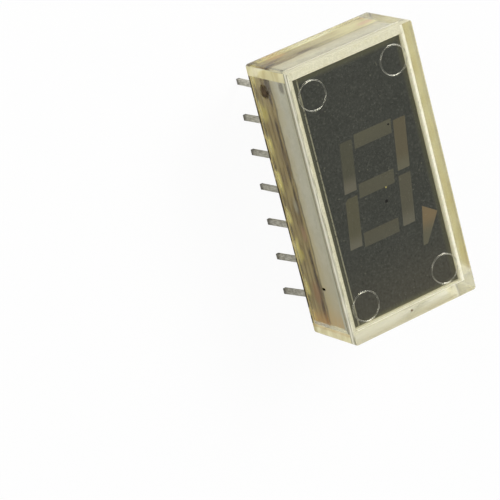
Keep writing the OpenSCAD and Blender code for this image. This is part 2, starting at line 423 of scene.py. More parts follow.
def join_into(piece, *others):
    """Makes one object of several. It keeps the first one's name."""
    select_only(piece, *others)
    bpy.ops.object.join()
    return piece


def box_piece(name, low, high):
    """A primitive cube stretched to a box, with its place in its mesh."""
    clear_selection()
    bpy.ops.mesh.primitive_cube_add(size=1.0)
    made = bpy.context.object
    made.name = name
    made.scale = Vector(high) - Vector(low)
    made.location = (Vector(high) + Vector(low)) / 2
    bpy.ops.object.transform_apply(location=True, rotation=True, scale=True)
    return made


def pick(piece, test, kind="EDGE"):
    """Selects the edges or faces of a piece whose corners pass the test."""
    bpy.ops.object.mode_set(mode="EDIT")
    bpy.ops.mesh.select_mode(type=kind)
    bpy.ops.mesh.select_all(action="DESELECT")
    bpy.ops.object.mode_set(mode="OBJECT")
    mesh = piece.data
    for part in mesh.edges if kind == "EDGE" else mesh.polygons:
        part.select = bool(test([mesh.vertices[i].co for i in part.vertices]))
    bpy.ops.object.mode_set(mode="EDIT")


def top_of(points):
    return max(p.z for p in points)


def rise(points):
    """How far an edge or a face reaches in height."""
    return top_of(points) - min(p.z for p in points)


def apply_all(piece):
    """Applies a piece's modifiers in order."""
    bpy.ops.object.mode_set(mode="OBJECT")
    bpy.context.view_layer.objects.active = piece
    for modifier in list(piece.modifiers):
        bpy.ops.object.modifier_apply(modifier=modifier.name)


# %% [markdown]
# ### The block
#
# A cube at the case's size. Its four upright edges are rounded like the mould, the rest get
# a hair of a bevel, because no moulded edge is knife sharp and the thin bright line along it
# is what shows that the block is solid. The back is inset to where the potting meets the
# wall, and sinks a little, as resin does when it cures. Last, the block is bisected where one
# finish gives way to another, so that each has its own faces.

# %% Block with a sunk back
def resin_block():
    block = box_piece("clear_body", case_low, case_high)
    pick(block, lambda points: rise(points) > WINDOW_THICKNESS)
    bpy.ops.mesh.bevel(offset=UPRIGHT_ROUND, segments=5, affect="EDGES")
    pick(block, lambda points: rise(points) < EDGE_ROUND)
    bpy.ops.mesh.bevel(offset=EDGE_ROUND, segments=3, affect="EDGES")
    pick(block, lambda points: top_of(points) < case_low.z + EDGE_ROUND / 4, kind="FACE")
    wall = potting_low.x - case_low.x
    bpy.ops.mesh.inset(thickness=wall - EDGE_ROUND, depth=0)
    bpy.ops.mesh.inset(thickness=MENISCUS, depth=0)
    bpy.ops.transform.translate(value=(0, 0, POTTING_SINK))
    for place, across in (
        ((0, 0, SCUFF_LOW), (0, 0, 1)),
        ((0, 0, RIM_HIGH), (0, 0, 1)),
        ((0, -SCUFF_END, 0), (0, 1, 0)),
        ((0, SCUFF_END, 0), (0, 1, 0)),
    ):
        bpy.ops.mesh.select_all(action="SELECT")
        bpy.ops.mesh.bisect(plane_co=place, plane_no=across)
    bpy.ops.object.mode_set(mode="OBJECT")
    print("block faces", len(block.data.polygons))
    return block


block = resin_block()

# %% [markdown]
# ### The hollow behind the window
#
# The ejector pins of the mould leave four fine round beads on the window's inside. A torus
# half sunk into the hollow's ceiling is cut out of it by a Boolean modifier, so each bead is
# a true ridge of resin that bends the light.

# %% Hollow with ejector beads
RING_RADIUS = 1.01 * MM
RING_BEAD = 0.042 * MM
RING_SIDE = 0.02 * MM  # from a ring to the potting's side
RING_END = 0.25 * MM  # from a lower ring to the foot end
RING_TOP_END = 0.38 * MM  # from an upper ring to the head end


def ring_places():
    """The middles of the four rings."""
    reach = RING_RADIUS + RING_BEAD
    x = potting_high.x - RING_SIDE - reach
    heights = (potting_low.y + RING_END + reach, potting_high.y - RING_TOP_END - reach)
    return [Vector((side * x, y, window_inside)) for side in (-1, 1) for y in heights]


def ring_bead(place):
    clear_selection()
    bpy.ops.mesh.primitive_torus_add(
        location=place, major_radius=RING_RADIUS, minor_radius=RING_BEAD,
        major_segments=96, minor_segments=12,
    )
    return bpy.context.object


def window_hollow():
    """The air behind the window, as a shell that looks inwards."""
    floor = (mask_low.z + mask_high.z) / 2
    low = Vector((potting_low.x - HOLLOW_SIDE, potting_low.y, floor))
    high = Vector((potting_high.x, potting_high.y + HOLLOW_TOP, window_inside))
    hollow = box_piece("window_hollow", low, high)
    pick(hollow, lambda points: sum(p.z for p in points) / len(points) > window_inside - HOLLOW_ROUND)
    bpy.ops.mesh.bevel(offset=HOLLOW_ROUND, segments=2, affect="EDGES")
    bpy.ops.object.mode_set(mode="OBJECT")
    beads = [ring_bead(place) for place in ring_places()]
    for bead in beads:
        cut = hollow.modifiers.new("bead", "BOOLEAN")
        cut.operation, cut.solver, cut.object = "DIFFERENCE", "EXACT", bead
    select_only(hollow)
    apply_all(hollow)
    delete_pieces(*beads)
    select_only(hollow)
    bpy.ops.object.mode_set(mode="EDIT")
    bpy.ops.mesh.select_all(action="SELECT")
    bpy.ops.mesh.flip_normals()
    bpy.ops.object.mode_set(mode="OBJECT")
    return hollow


hollow = window_hollow()
print("hollow faces", len(hollow.data.polygons))

# %% [markdown]
# ### The milky ledge round the hollow
#
# Where the window meets the walls the mould has left a matt shelf, wide at the head and
# narrow at the foot, and it shows as a pale frame round the mask. A plane is inset, its
# middle is taken out, and the inner sides are moved to the hollow. Solidify then gives the
# frame three hundredths of a millimetre, enough for light to meet it.

# %% Milky ledge
LEDGE_RIGHT = 0.17 * MM
LEDGE_TOP = 0.48 * MM
LEDGE_LEFT = 0.20 * MM
LEDGE_NARROW = 0.05 * MM  # its width at the foot
LEDGE_GAP = 0.01 * MM  # resin between the ledge and the hollow
LEDGE_DROP = 0.03 * MM  # how far it lies under the window, and how thick it is


def move_side(frame_piece, axis, line, goal):
    """Moves the edges of a flat frame that lie on a line across an axis."""
    pick(frame_piece, lambda points: all(abs(p[axis] - line) < LEDGE_NARROW / 2 for p in points))
    shift = Vector((0, 0, 0))
    shift[axis] = goal - line
    bpy.ops.transform.translate(value=shift)


def milky_ledge():
    """A thin frame in the resin round the hollow's ceiling, each side as wide as its size says."""
    inner_low = -Vector((potting_high.x + LEDGE_GAP + HOLLOW_SIDE, potting_high.y + LEDGE_GAP, 0))
    inner_high = Vector((potting_high.x + LEDGE_GAP, potting_high.y + LEDGE_GAP + HOLLOW_TOP, 0))
    low = inner_low - Vector((LEDGE_LEFT, LEDGE_NARROW, 0))
    high = inner_high + Vector((LEDGE_RIGHT, LEDGE_TOP, 0))
    clear_selection()
    bpy.ops.mesh.primitive_plane_add(size=1.0)
    ledge = bpy.context.object
    ledge.name = "milky_ledge"
    ledge.scale = (high.x - low.x, high.y - low.y, 1)
    ledge.location = ((high.x + low.x) / 2, (high.y + low.y) / 2, window_inside - LEDGE_DROP)
    bpy.ops.object.transform_apply(location=True, rotation=True, scale=True)
    pick(ledge, lambda points: True, kind="FACE")
    bpy.ops.mesh.inset(thickness=LEDGE_NARROW, depth=0)
    bpy.ops.mesh.delete(type="ONLY_FACE")
    move_side(ledge, 0, low.x + LEDGE_NARROW, inner_low.x)
    move_side(ledge, 0, high.x - LEDGE_NARROW, inner_high.x)
    move_side(ledge, 1, high.y - LEDGE_NARROW, inner_high.y)
    bpy.ops.object.mode_set(mode="OBJECT")
    thick = ledge.modifiers.new("thick", "SOLIDIFY")
    thick.thickness, thick.offset = LEDGE_DROP, 1
    apply_all(ledge)
    return ledge


clear_body = join_into(block, hollow, milky_ledge())
print("clear body faces", len(clear_body.data.polygons))

# %% [markdown]
# ### Where a stain lies
#
# Flux, dust and age have marked the walls in places of their own. Each mark is a soft blob or
# a wandering line, held by its place and reach in millimetres. A table of places stands
# beside each finish that has marks, and a loop lays them on one by one.

# %% Blobs and lines on a wall
BLOB_FLAT = 1.8  # above 1 a blob has an even middle


def near(value, middle, reach):
    """1 at the middle and 0 from reach away on."""
    return (value - middle * MM).size().step(reach * MM, 0.0)


def inside(x, y, z, middle, reach):
    """A soft blob round a middle, reaching its own way along x, y and z."""
    blob = near(x, middle[0], reach[0]) * near(y, middle[1], reach[1]) * near(z, middle[2], reach[2])
    return (blob * BLOB_FLAT).least(1.0)


def wandering_line(graph, spot, z, height, width):
    """A dark line along a wall that rises, falls and breaks off."""
    sway = graph.noise(graph.drawn_out(spot, 0.12), 0.5 * MM)
    gaps = graph.noise(graph.drawn_out(spot, 0.4), 0.6 * MM).step(0.34, 0.52)
    wide = width * MM
    return (z + (sway - 0.5) * (wide * 1.5) - height * MM).size().step(wide, wide * 0.2) * gaps


# %% [markdown]
# ### Clear resin as a material
#
# Resin is glass with a lower index, a faint yellow, and a skin that isn't quite flat. The
# colour sits in the skin, since the body is about as thick everywhere, and a finish in the
# skin stays quick to render. Lamps can't find their way through bent glass, so for their
# rays, and for the soft light between the parts inside, the skin is simply open.
#
# The walls are the same resin with a satin skin. Flux has stained them at the head end. A
# dark broken line along the back of the left side is painted shade, and a darker line runs
# under the rubbed strip on the left.

# %% Clear resin
RESIN_TINT = (0.96, 0.94, 0.79, 1)
RESIN_INDEX = 1.5
OPEN_SKIN = (0.95, 0.95, 0.93, 1)
RIPPLE_HEIGHT = 0.012 * MM
# colour, share and, in mm, where it is and how far it reaches along x, y and z
WALL_STAINS = (
    ((70, 54, 20), 1.00, (-4.72, 9.6, 0.45), (0.5, 0.4, 0.9)),
    ((90, 72, 30), 0.95, (-4.10, 9.6, 0.40), (0.3, 0.4, 0.8)),
    ((150, 128, 70), 0.70, (4.6, 9.6, 1.4), (0.6, 0.4, 1.6)),
    ((190, 140, 70), 0.80, (3.9, 9.6, 0.75), (0.35, 0.4, 0.5)),
)


def open_to_lamps(graph, shader):
    """Lets the rays of lamps, and of light scattered inside, pass straight through a shader."""
    open_skin = graph.node("ShaderNodeBsdfTransparent", None, Color=OPEN_SKIN)[0]
    inner = graph.either(graph.ray_is("Diffuse"), shader, open_skin)
    return graph.either(graph.ray_is("Shadow"), inner, open_skin)


def stained_tint(graph, spot):
    """The resin's own tint with the marks of the walls and a painted shade line along the back laid
    over it.
    """
    x, y, z = graph.axes(spot)
    soft_patch = graph.noise(spot, 0.5 * MM, detail=3.0).step(0.25, 0.6)
    tint = RESIN_TINT
    for colour, share, middle, reach in WALL_STAINS:
        tint = graph.blend(inside(x, y, z, middle, reach) * soft_patch * share, tint, rgb(*colour))
    sway = graph.noise(graph.drawn_out(spot, 0.12), 0.4 * MM)
    gaps = graph.noise(graph.drawn_out(spot, 0.5), 0.6 * MM).step(0.38, 0.5)
    # painted shade: a dark broken line along the back of the left side
    shade_line_at_back = z.step(sway * (0.5 * MM), sway * (0.3 * MM)) * gaps * x.step(-4.8 * MM, -4.9 * MM)
    tint = graph.blend(shade_line_at_back, tint, rgb(44, 34, 12))
    on_left = x.step(-4.9 * MM, -4.97 * MM)
    under_scuff = z.step(4.16 * MM, 4.26 * MM) * on_left
    tint = graph.blend(under_scuff, tint, rgb(212, 210, 190))
    return graph.blend(near(z, 4.43, 0.16) * on_left, tint, rgb(56, 52, 32))


def clear_resin(name, roughness, ripple, stained=False):
    """Glass with waves about ripple metres long in its skin, with or without the walls' stains."""
    material, graph = new_material(name)
    spot = graph.spot()
    waves = graph.noise(graph.drawn_out(spot), ripple)
    glass = graph.principled(
        Base_Color=stained_tint(graph, spot) if stained else RESIN_TINT, Roughness=roughness,
        IOR=RESIN_INDEX, Transmission_Weight=1.0, Normal=graph.bump(waves, RIPPLE_HEIGHT),
    )
    graph.finish(open_to_lamps(graph, glass))
    return material


clear_window = clear_resin("clear_window", 0.02, 1.6 * MM)
satin_wall = clear_resin("satin_wall", 0.2, 0.5 * MM, stained=True)
print("wall stains", len(WALL_STAINS))

# %% [markdown]
# ### The frosted hollow and its ledge
#
# The hollow's sides and the ledge are matt, so they scatter light instead of bending it. They
# also give off a painted glow, light of their own that stands for what the resin round them
# carries. One finish serves both, since they are parts of one skin: pale on the sides, greyer
# at the left, darker low down with painted shade in the corner by the mask, and grainy with
# warm patches on the ledge, which is whiter at the right as painted light.

# %% Frosted wall and ledge
FROST_PAINTED_GLOW = 0.22  # how much of its colour the frosted skin gives off by itself, a painted glow
LEDGE_TONE = rgb(222, 219, 204)
LEDGE_TONE_DULL = rgb(198, 195, 174)


def ledge_colour(graph, spot, dull, right):
    """The ledge's tone, duller where dull says and whiter at the right as painted light, with grains
    and patches.
    """
    grains = graph.noise(spot, 0.09 * MM, detail=3.0)
    patches = graph.noise(spot, 0.7 * MM, detail=3.0)
    tone = graph.blend(dull, LEDGE_TONE, LEDGE_TONE_DULL)
    return overlaid(
        graph, tone,
        # painted light: the ledge whiter at the right
        (right * 0.35, (255, 254, 246)),
        (grains.step(0.40, 0.75) * 0.35, (246, 243, 228)),
        (grains.step(0.45, 0.25) * 0.2, (176, 172, 148)),
        (patches.step(0.45, 0.7) * 0.3, (196, 190, 156)),
    )


def frosted_wall():
    material, graph = new_material("frosted_wall")
    spot = graph.spot()
    x, y, z = graph.axes(spot)
    streaks = graph.noise(graph.drawn_out(spot), 0.12 * MM)
    left, right = x.below(-potting_high.x), x.above(potting_high.x)
    head = y.above(potting_high.y)
    # painted shade: darker low down, in the corner where the wall meets the mask
    shade_near_mask = z.step(mask_high.z + 0.16 * MM, mask_high.z + 0.02 * MM) * y.below(0.99 * potting_high.y)
    tone = graph.blend(streaks.step(0.3, 0.7), rgb(250, 248, 236), rgb(238, 234, 214))
    tone = overlaid(graph, tone, (left * 0.85, (176, 174, 154)), (shade_near_mask * 0.5, (130, 128, 110)))
    ledge = ledge_colour(graph, spot, (left + head * 0.7).least(1.0), right)
    tone = graph.blend(z.above(window_inside - LEDGE_DROP * 1.2), tone, ledge)
    # painted glow: the frosted skin gives off its own colour as light
    graph.surface(
        Base_Color=tone, Roughness=0.7, Specular_IOR_Level=0.0,
        Emission_Color=tone, Emission_Strength=FROST_PAINTED_GLOW,
    )
    return material


frost = frosted_wall()
print("frost glow", FROST_PAINTED_GLOW)

# %% [markdown]
# ### The rubbed strip on the left side
#
# Near the window the left side is scuffed in fine lines that run along it, with one bright
# band between two dark ones. The same worn skin covers the two ends of that side and the
# upper part of the head side, where it is plainer. It is matt resin laid on nearly opaque,
# and its pale tones are painted light, standing for light that the clear resin carries round.

# %% Scuffed strip
def scuffed_strip_and_painted_light():
    material, graph = new_material("scuffed_strip_and_painted_light")
    spot = graph.spot()
    y, z = graph.axes(spot)[1:]
    fine = graph.noise(graph.drawn_out(spot, 0.04), 0.05 * MM, detail=3.0)
    broad = graph.noise(graph.drawn_out(spot, 0.3), 0.5 * MM)
    # painted light: the pale tones stand for light carried round through the resin
    tone = graph.blend(fine.step(0.35, 0.65), rgb(150, 146, 118), rgb(244, 241, 216))
    tone = overlaid(
        graph, tone,
        (broad.step(0.5, 0.7) * 0.3, (176, 172, 142)),
        (near(z, 4.74, 0.2) * 0.8, (244, 241, 222)),
        ((near(z, 4.60, 0.04) + near(z, 4.90, 0.04)) * 0.5, (120, 116, 90)),
        (near(z, 4.55, 0.05) * 0.9, (96, 92, 72)),
    )
    on_strip = z.step(SCUFF_LOW - 0.02 * MM, SCUFF_LOW + 0.02 * MM)
    # painted light: pale tones at the ends of the left side
    lit_end_tone = graph.blend(broad.step(0.35, 0.65), rgb(240, 232, 182), rgb(222, 210, 158))
    tone = graph.blend(on_strip, lit_end_tone, tone)
    head = y.above(case_high.y - EDGE_ROUND * 2)
    tone = graph.blend(head * 0.85, tone, rgb(216, 211, 182))
    warm_foot = near(y, -8.95, 0.2) * (1.0 - on_strip) * 0.5
    tone = graph.blend(warm_foot, tone, rgb(200, 160, 92))
    cover = 0.75 + on_strip * (0.15 - head * 0.1)
    matt = graph.principled(Base_Color=tone, Roughness=0.5, Specular_IOR_Level=0.2, Alpha=cover)
    graph.finish(open_to_lamps(graph, matt))
    return material


scuff_and_painted_light = scuffed_strip_and_painted_light()
print("scuffed from", round(SCUFF_LOW / MM, 2), "mm up")

# %% [markdown]
# ### Flux and painted shade along the back edge
#
# Flux has run along the lowest part of the left side and dried there, beige. The dashed dark
# line at the very edge is painted shade. The dashes come from two streaky noises: one lets
# the line's height sway, the other breaks it off.

# %% Rim of flux with painted shade
RIM_COVER = 0.92  # how much of the clear wall the flux hides


def flux_rim_with_shade_dashes():
    material, graph = new_material("flux_rim_with_shade_dashes")
    spot = graph.spot()
    z = graph.axes(spot)[2]
    sway = graph.noise(graph.drawn_out(spot, 0.2), 0.4 * MM, detail=3.0)
    gaps = graph.noise(graph.drawn_out(spot, 0.6), 0.5 * MM, detail=3.0)
    beige = graph.blend(sway.step(0.4, 0.6), rgb(198, 184, 126), rgb(166, 150, 98))
    swaying = sway * (0.2 * MM)
    # painted shade: dark dashes at the very edge
    shade_dashes = z.step(swaying + 0.16 * MM, swaying + 0.06 * MM) * gaps.step(0.34, 0.44)
    tone = graph.blend(shade_dashes, beige, rgb(46, 35, 10))
    matt = graph.principled(Base_Color=tone, Roughness=0.5, Specular_IOR_Level=0.1, Alpha=RIM_COVER)
    graph.finish(open_to_lamps(graph, matt))
    return material


rim = flux_rim_with_shade_dashes()
print("rim of flux up to", round(RIM_HIGH / MM, 2), "mm")

# %% [markdown]
# ### Five finishes on one body
#
# The window is polished, the walls and the back are satin, and the other three lie where
# the last cells said. Each face is given its finish by where its middle lies, as one would
# pick faces by hand and press Assign.

# %% Finishes by face
FLAT = 0.99  # a face whose normal has this much of z lies flat
PAST_LEDGE = 1.2  # looks a little past the ledge, so that all its faces count
WINDOW, WALL, FROST, SCUFF, RIM = range(5)


def finish_of(face):
    """The number of the finish that a face of the body gets."""
    middle = face.center
    in_hollow = mask_low.z < middle.z < case_high.z - WINDOW_THICKNESS / 2 and (
        abs(middle.x) < potting_high.x + HOLLOW_SIDE + LEDGE_LEFT * PAST_LEDGE
        and abs(middle.y) < potting_high.y + HOLLOW_TOP + LEDGE_TOP * PAST_LEDGE
    )
    if in_hollow:
        by_wall = abs(middle.x) > potting_high.x - HOLLOW_ROUND or not (
            -potting_high.y + HOLLOW_ROUND < middle.y < potting_high.y + HOLLOW_TOP - HOLLOW_ROUND
        )
        on_bead = abs(face.normal.z) < FLAT
        return FROST if by_wall else WALL if on_bead else WINDOW
    on_left = middle.x < case_low.x + EDGE_ROUND
    at_head = middle.y > case_high.y - EDGE_ROUND
    if (on_left or at_head) and middle.z > SCUFF_LOW:
        return SCUFF
    if on_left and abs(middle.y) > SCUFF_END:
        return SCUFF
    if on_left and middle.z < RIM_HIGH:
        return RIM
    return WINDOW if face.normal.z > FLAT else WALL


for finish in (clear_window, satin_wall, frost, scuff_and_painted_light, rim):
    clear_body.data.materials.append(finish)
for face in clear_body.data.polygons:
    face.material_index = finish_of(face)
select_only(clear_body)
bpy.ops.object.shade_smooth_by_angle(angle=math.radians(20))
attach(clear_body, "root")
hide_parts("case", "back_potting")
print("matt faces", sum(face.material_index > WALL for face in clear_body.data.polygons))

# %% [markdown]
# ## Stained potting along the walls
#
# The potting creeps up between the light guide and the wall of the cup, and soldering flux
# browns it there. This is what gives the sides their streaks. It is a band with no top and
# bottom, a hundredth of a millimetre thick, standing just inside the resin. A box loses its
# flat faces and is subdivided, a Displace modifier unsettles its upper rows, and Solidify
# gives it its thickness. The mesh reaches almost up to the mask; the finish in the next cell
# fades it out lower down, where the real stain ends.

# %% Band of stained potting
SKIN_GAP = 0.015 * MM  # clear resin between the band and the wall of the cup
SKIN_THICKNESS = 0.012 * MM
SKIN_LOW = 0.08 * MM
SKIN_HIGH = 3.62 * MM
SKIN_STEPS = 40
SKIN_CREEP = 0.06 * MM
CREEP_ROWS = 12  # how many rows at the top move, more and more towards the edge
CREEP_SPOTS = 1.1 * MM


def creeping_edge(skin):
    """Lets the band's upper rows rise and fall in soft clouds."""
    edge = skin.vertex_groups.new(name="upper_edge")
    row = (SKIN_HIGH - SKIN_LOW) / (SKIN_STEPS + 1)
    reach = CREEP_ROWS * row
    for vertex in skin.data.vertices:
        if vertex.co.z > SKIN_HIGH - reach:
            edge.add([vertex.index], 1 - (SKIN_HIGH - vertex.co.z) / reach, "REPLACE")
    clouds = bpy.data.textures.new("creep_clouds", "CLOUDS")
    clouds.noise_scale = CREEP_SPOTS
    creep = skin.modifiers.new("creep", "DISPLACE")
    creep.texture, creep.texture_coords, creep.direction = clouds, "LOCAL", "Z"
    creep.vertex_group, creep.strength, creep.mid_level = "upper_edge", SKIN_CREEP, 0.5


def potting_skin():
    inset = Vector((SKIN_GAP, SKIN_GAP, 0))
    low = Vector((potting_low.x, potting_low.y, SKIN_LOW)) + inset
    high = Vector((potting_high.x, potting_high.y, SKIN_HIGH)) - inset
    skin = box_piece("potting_skin", low, high)
    pick(skin, lambda points: rise(points) < SKIN_GAP, "FACE")
    bpy.ops.mesh.delete(type="ONLY_FACE")
    bpy.ops.mesh.select_all(action="SELECT")
    bpy.ops.mesh.subdivide(number_cuts=SKIN_STEPS)
    bpy.ops.object.mode_set(mode="OBJECT")
    creeping_edge(skin)
    wall = skin.modifiers.new("wall", "SOLIDIFY")
    wall.thickness, wall.offset = SKIN_THICKNESS, 0
    apply_all(skin)
    return skin


skin = potting_skin()
print("potting band faces", len(skin.data.polygons))

# %% [markdown]
# ### Its colours
#
# Each tone has its place: beige all over and painted lighter high up on the right, as
# painted light, brown streaks along the left, yellow between the leads near the back, three
# dark lines of which the upper is olive and broad, an orange tinge at the foot end, and a
# pale foot end that is painted light too. Marks that come only once are in a table. Alpha
# ends the stain in an uneven edge about two millimetres up.

# %% Stained potting
LEAD_PITCH = 2.5 * MM
# height, half width, both in mm, and share
WALL_LINES = ((1.60, 0.28, 1.0), (1.02, 0.12, 0.5), (0.55, 0.12, 0.5))
# colour, share and, in mm, where it is and how far it reaches along x, y and z
STAINS = (
    ((84, 70, 44), 0.85, (-4.3, 8.2, 1.66), (0.5, 0.68, 0.54)),
    ((104, 78, 30), 1.00, (-3.7, 8.8, 1.22), (0.9, 0.4, 0.2)),
    ((206, 168, 100), 0.60, (-2.9, 8.8, 0.5), (1.0, 0.4, 0.6)),
    ((214, 170, 140), 0.60, (3.8, 8.8, 1.2), (0.9, 0.4, 0.5)),
    ((250, 246, 206), 0.90, (0.2, 8.8, 0.1), (2.6, 0.4, 0.3)),
    ((150, 148, 130), 0.70, (-4.3, -0.3, 1.35), (0.5, 0.7, 0.35)),
    ((150, 112, 84), 0.60, (-4.3, -2.3, 1.5), (0.5, 0.8, 0.4)),
    ((142, 104, 66), 0.70, (-4.3, -6.6, 1.2), (0.5, 1.2, 0.6)),
    ((196, 182, 90), 0.50, (-4.3, 6.1, 0.5), (0.5, 0.8, 0.5)),
    ((196, 182, 90), 0.50, (-4.3, -3.9, 0.5), (0.5, 0.6, 0.4)),
)


def beside_leads(y):
    """1 at the middle of a lead, -1 midway between two."""
    return (y * (2 * math.pi / LEAD_PITCH)).cosine()


def resin_beige(graph, x, z, blots):
    """The potting where flux hasn't browned it, lighter high up on the right as painted light."""
    beige = graph.blend(blots.step(0.35, 0.65), rgb(220, 212, 158), rgb(205, 192, 137))
    painted_light_beige = graph.blend(blots.step(0.4, 0.6), rgb(242, 236, 190), rgb(228, 214, 138))
    # painted light: the beige is lighter high up on the right
    lit_high_right = x.above(4.2 * MM) * (z + (blots - 0.5) * (1.2 * MM)).step(1.2 * MM, 1.7 * MM)
    return graph.blend(lit_high_right, beige, painted_light_beige)


def yellow_share(y, z, blots, soft):
    """Where flux has turned the potting yellow: low down and between the leads."""
    between = 0.4 - beside_leads(y + (blots - 0.5) * (1.8 * MM)) * 0.4
    yellow = (between + soft * 0.9 - 0.4).step(0.1, 0.8)
    return yellow * (z + blots * (0.9 * MM)).step(1.05 * MM, 0.35 * MM)


def stained_potting():
    material, graph = new_material("stained_potting")
    spot = graph.spot()
    x, y, z = graph.axes(spot)
    blots = graph.noise(graph.drawn_out(spot, 0.5), 0.8 * MM, detail=3.0)
    soft = graph.noise(graph.drawn_out(spot, 0.22), 0.45 * MM, detail=3.0)
    left = x.step(3.5 * MM, -4.0 * MM)
    brown = graph.blend(soft.step(0.3, 0.7), rgb(156, 140, 90), rgb(118, 98, 56))
    tone = graph.blend(left * 0.95, resin_beige(graph, x, z, blots), brown)
    yellow = yellow_share(y, z, blots, soft)
    tone = graph.blend(yellow * (0.35 + left * 0.6), tone, rgb(236, 222, 134))
    for height, width, share in WALL_LINES:
        line = wandering_line(graph, spot, z, height, width)
        tone = graph.blend(line * ((0.05 + left * 0.95) * share), tone, rgb(60, 42, 4))
    for colour, share, middle, reach in STAINS:
        tone = graph.blend(inside(x, y, z, middle, reach) * share, tone, rgb(*colour))
    orange = y.step(-7.4 * MM, -8.8 * MM) * left * 0.5
    tone = graph.blend(orange, tone, rgb(206, 156, 92))
    # painted light: the foot end of the band is painted pale
    lit_foot_wall = y.step(-8.5 * MM, -8.7 * MM) * x.step(-4.28 * MM, -4.2 * MM)
    pale = graph.blend(soft.step(0.3, 0.7), rgb(255, 252, 224), rgb(250, 242, 202))
    tone = graph.blend(lit_foot_wall * 0.95, tone, pale)
    cover = (z + (blots - 0.5) * (0.5 * MM)).step(2.15 * MM, 1.85 * MM)
    graph.surface(Base_Color=tone, Roughness=0.5, Alpha=cover, Specular_IOR_Level=0.0)
    return material


skin.data.materials.append(stained_potting())
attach(skin, "root")
print("marks on the band", len(STAINS) + len(WALL_LINES))

# %% [markdown]
# ## The mask
#
# The mask is a satin grey sheet with fine specks, a little browner towards the foot and paler
# along its margin. Its cut edge is painted pale, as painted light in the shaded gap beside
# it, and a pale, broken line runs along its left side. Fine noise makes the specks, broad
# noise lets the grey drift, and the distance to the nearest side gives the margin.

# %% Mask
PALE_LINE_X = -3.83  # in mm


def grey_mask():
    material, graph = new_material("grey_mask")
    spot = graph.spot()
    x, y, z = graph.axes(spot)
    fine = graph.noise(spot, 0.15 * MM, detail=4.0)
    broad = graph.noise(spot, 2.5 * MM, detail=1.0)
    pale_line = near(x, PALE_LINE_X, 0.08) * graph.noise(spot, 0.14 * MM).step(0.25, 0.5)
    to_side = (mask_high.x - x.size()).least(mask_high.y - (y + 0.1 * MM).size())
    margin = (to_side + fine * (0.1 * MM)).step(0.55 * MM, 0.06 * MM)
    tone = graph.blend(broad, rgb(52, 55, 54), rgb(63, 65, 65))
    tone = overlaid(
        graph, tone,
        (y.step(-3.5 * MM, -8.8 * MM) * 0.7, (78, 75, 69)),
        (fine.step(0.52, 0.72) * 0.5, (92, 94, 92)),
        (fine.step(0.46, 0.30) * 0.5, (36, 37, 34)),
        (pale_line, (160, 158, 142)),
        (margin * 0.45, (124, 123, 98)),
        # painted light: the mask's cut edge painted pale
        (z.below(mask_high.z - 0.005 * MM), (196, 192, 168)),
    )
    graph.surface(Base_Color=tone, Roughness=0.6, Specular_IOR_Level=0.0)
    return material


dress("face_mask", grey_mask())
print("mask at", round(mask_high.z / MM, 2), "mm")

# %% [markdown]
# ## The segments
#
# The segments are blocks of resin filled with a white powder, which look a warm grey while
# they are dark. None of the real ones is quite like its neighbour, and most are lighter at
# one end. So each has two colours of its own and the stretch over which one turns into the
# other.

# %% Segments
# colour at the foot, colour at the head and, in mm, where the change starts and ends
SEGMENT_LOOKS = {
    "segment_a": ((85, 84, 75), (88, 87, 77), 2.6, 3.5),
    "segment_b": ((101, 99, 88), (94, 88, 74), 0.2, 1.2),
    "segment_c": ((103, 101, 94), (86, 84, 75), -3.6, -2.4),
    "segment_d": ((85, 84, 76), (84, 82, 73), -3.7, -2.8),
    "segment_e": ((105, 103, 96), (86, 84, 71), -3.6, -2.6),
    "segment_f": ((104, 101, 94), (77, 77, 68), 0.3, 1.3),
    "segment_g": ((85, 84, 75), (85, 84, 75), -0.4, 0.4),
    "decimal_point": ((97, 95, 84), (124, 108, 86), -4.9, -3.7),
}


def diffuser(name, at_foot, at_head, start, end):
    """Filled resin that goes from one colour to another along the digit's height."""
    material, graph = new_material(name)
    spot = graph.spot()
    y = graph.axes(spot)[1]
    fine = graph.noise(spot, 0.15 * MM, detail=3.0)
    tone = graph.blend(y.step(start * MM, end * MM), rgb(*at_foot), rgb(*at_head))
    tone = graph.blend(fine.step(0.4, 0.9) * 0.15, tone, rgb(120, 114, 98))
    graph.surface(Base_Color=tone, Roughness=0.6, Specular_IOR_Level=0.0)
    return material


for node, look in SEGMENT_LOOKS.items():
    dress(node, diffuser(node + "_resin", *look))
print("segments and point", len(SEGMENT_LOOKS))

# %% [markdown]
# ## The light guide
#
# The light guide is moulded in a pale grey plastic. On the left, where it lies against the
# wall, it looks duller and mottled, and it warms towards the back and the foot. Its head side
# is painted lighter as painted light, and a painted shadow darkens its left side near the
# head. The tones are laid one over the other, from the ground tone up. A clear coat stands
# for the resin that wets it.

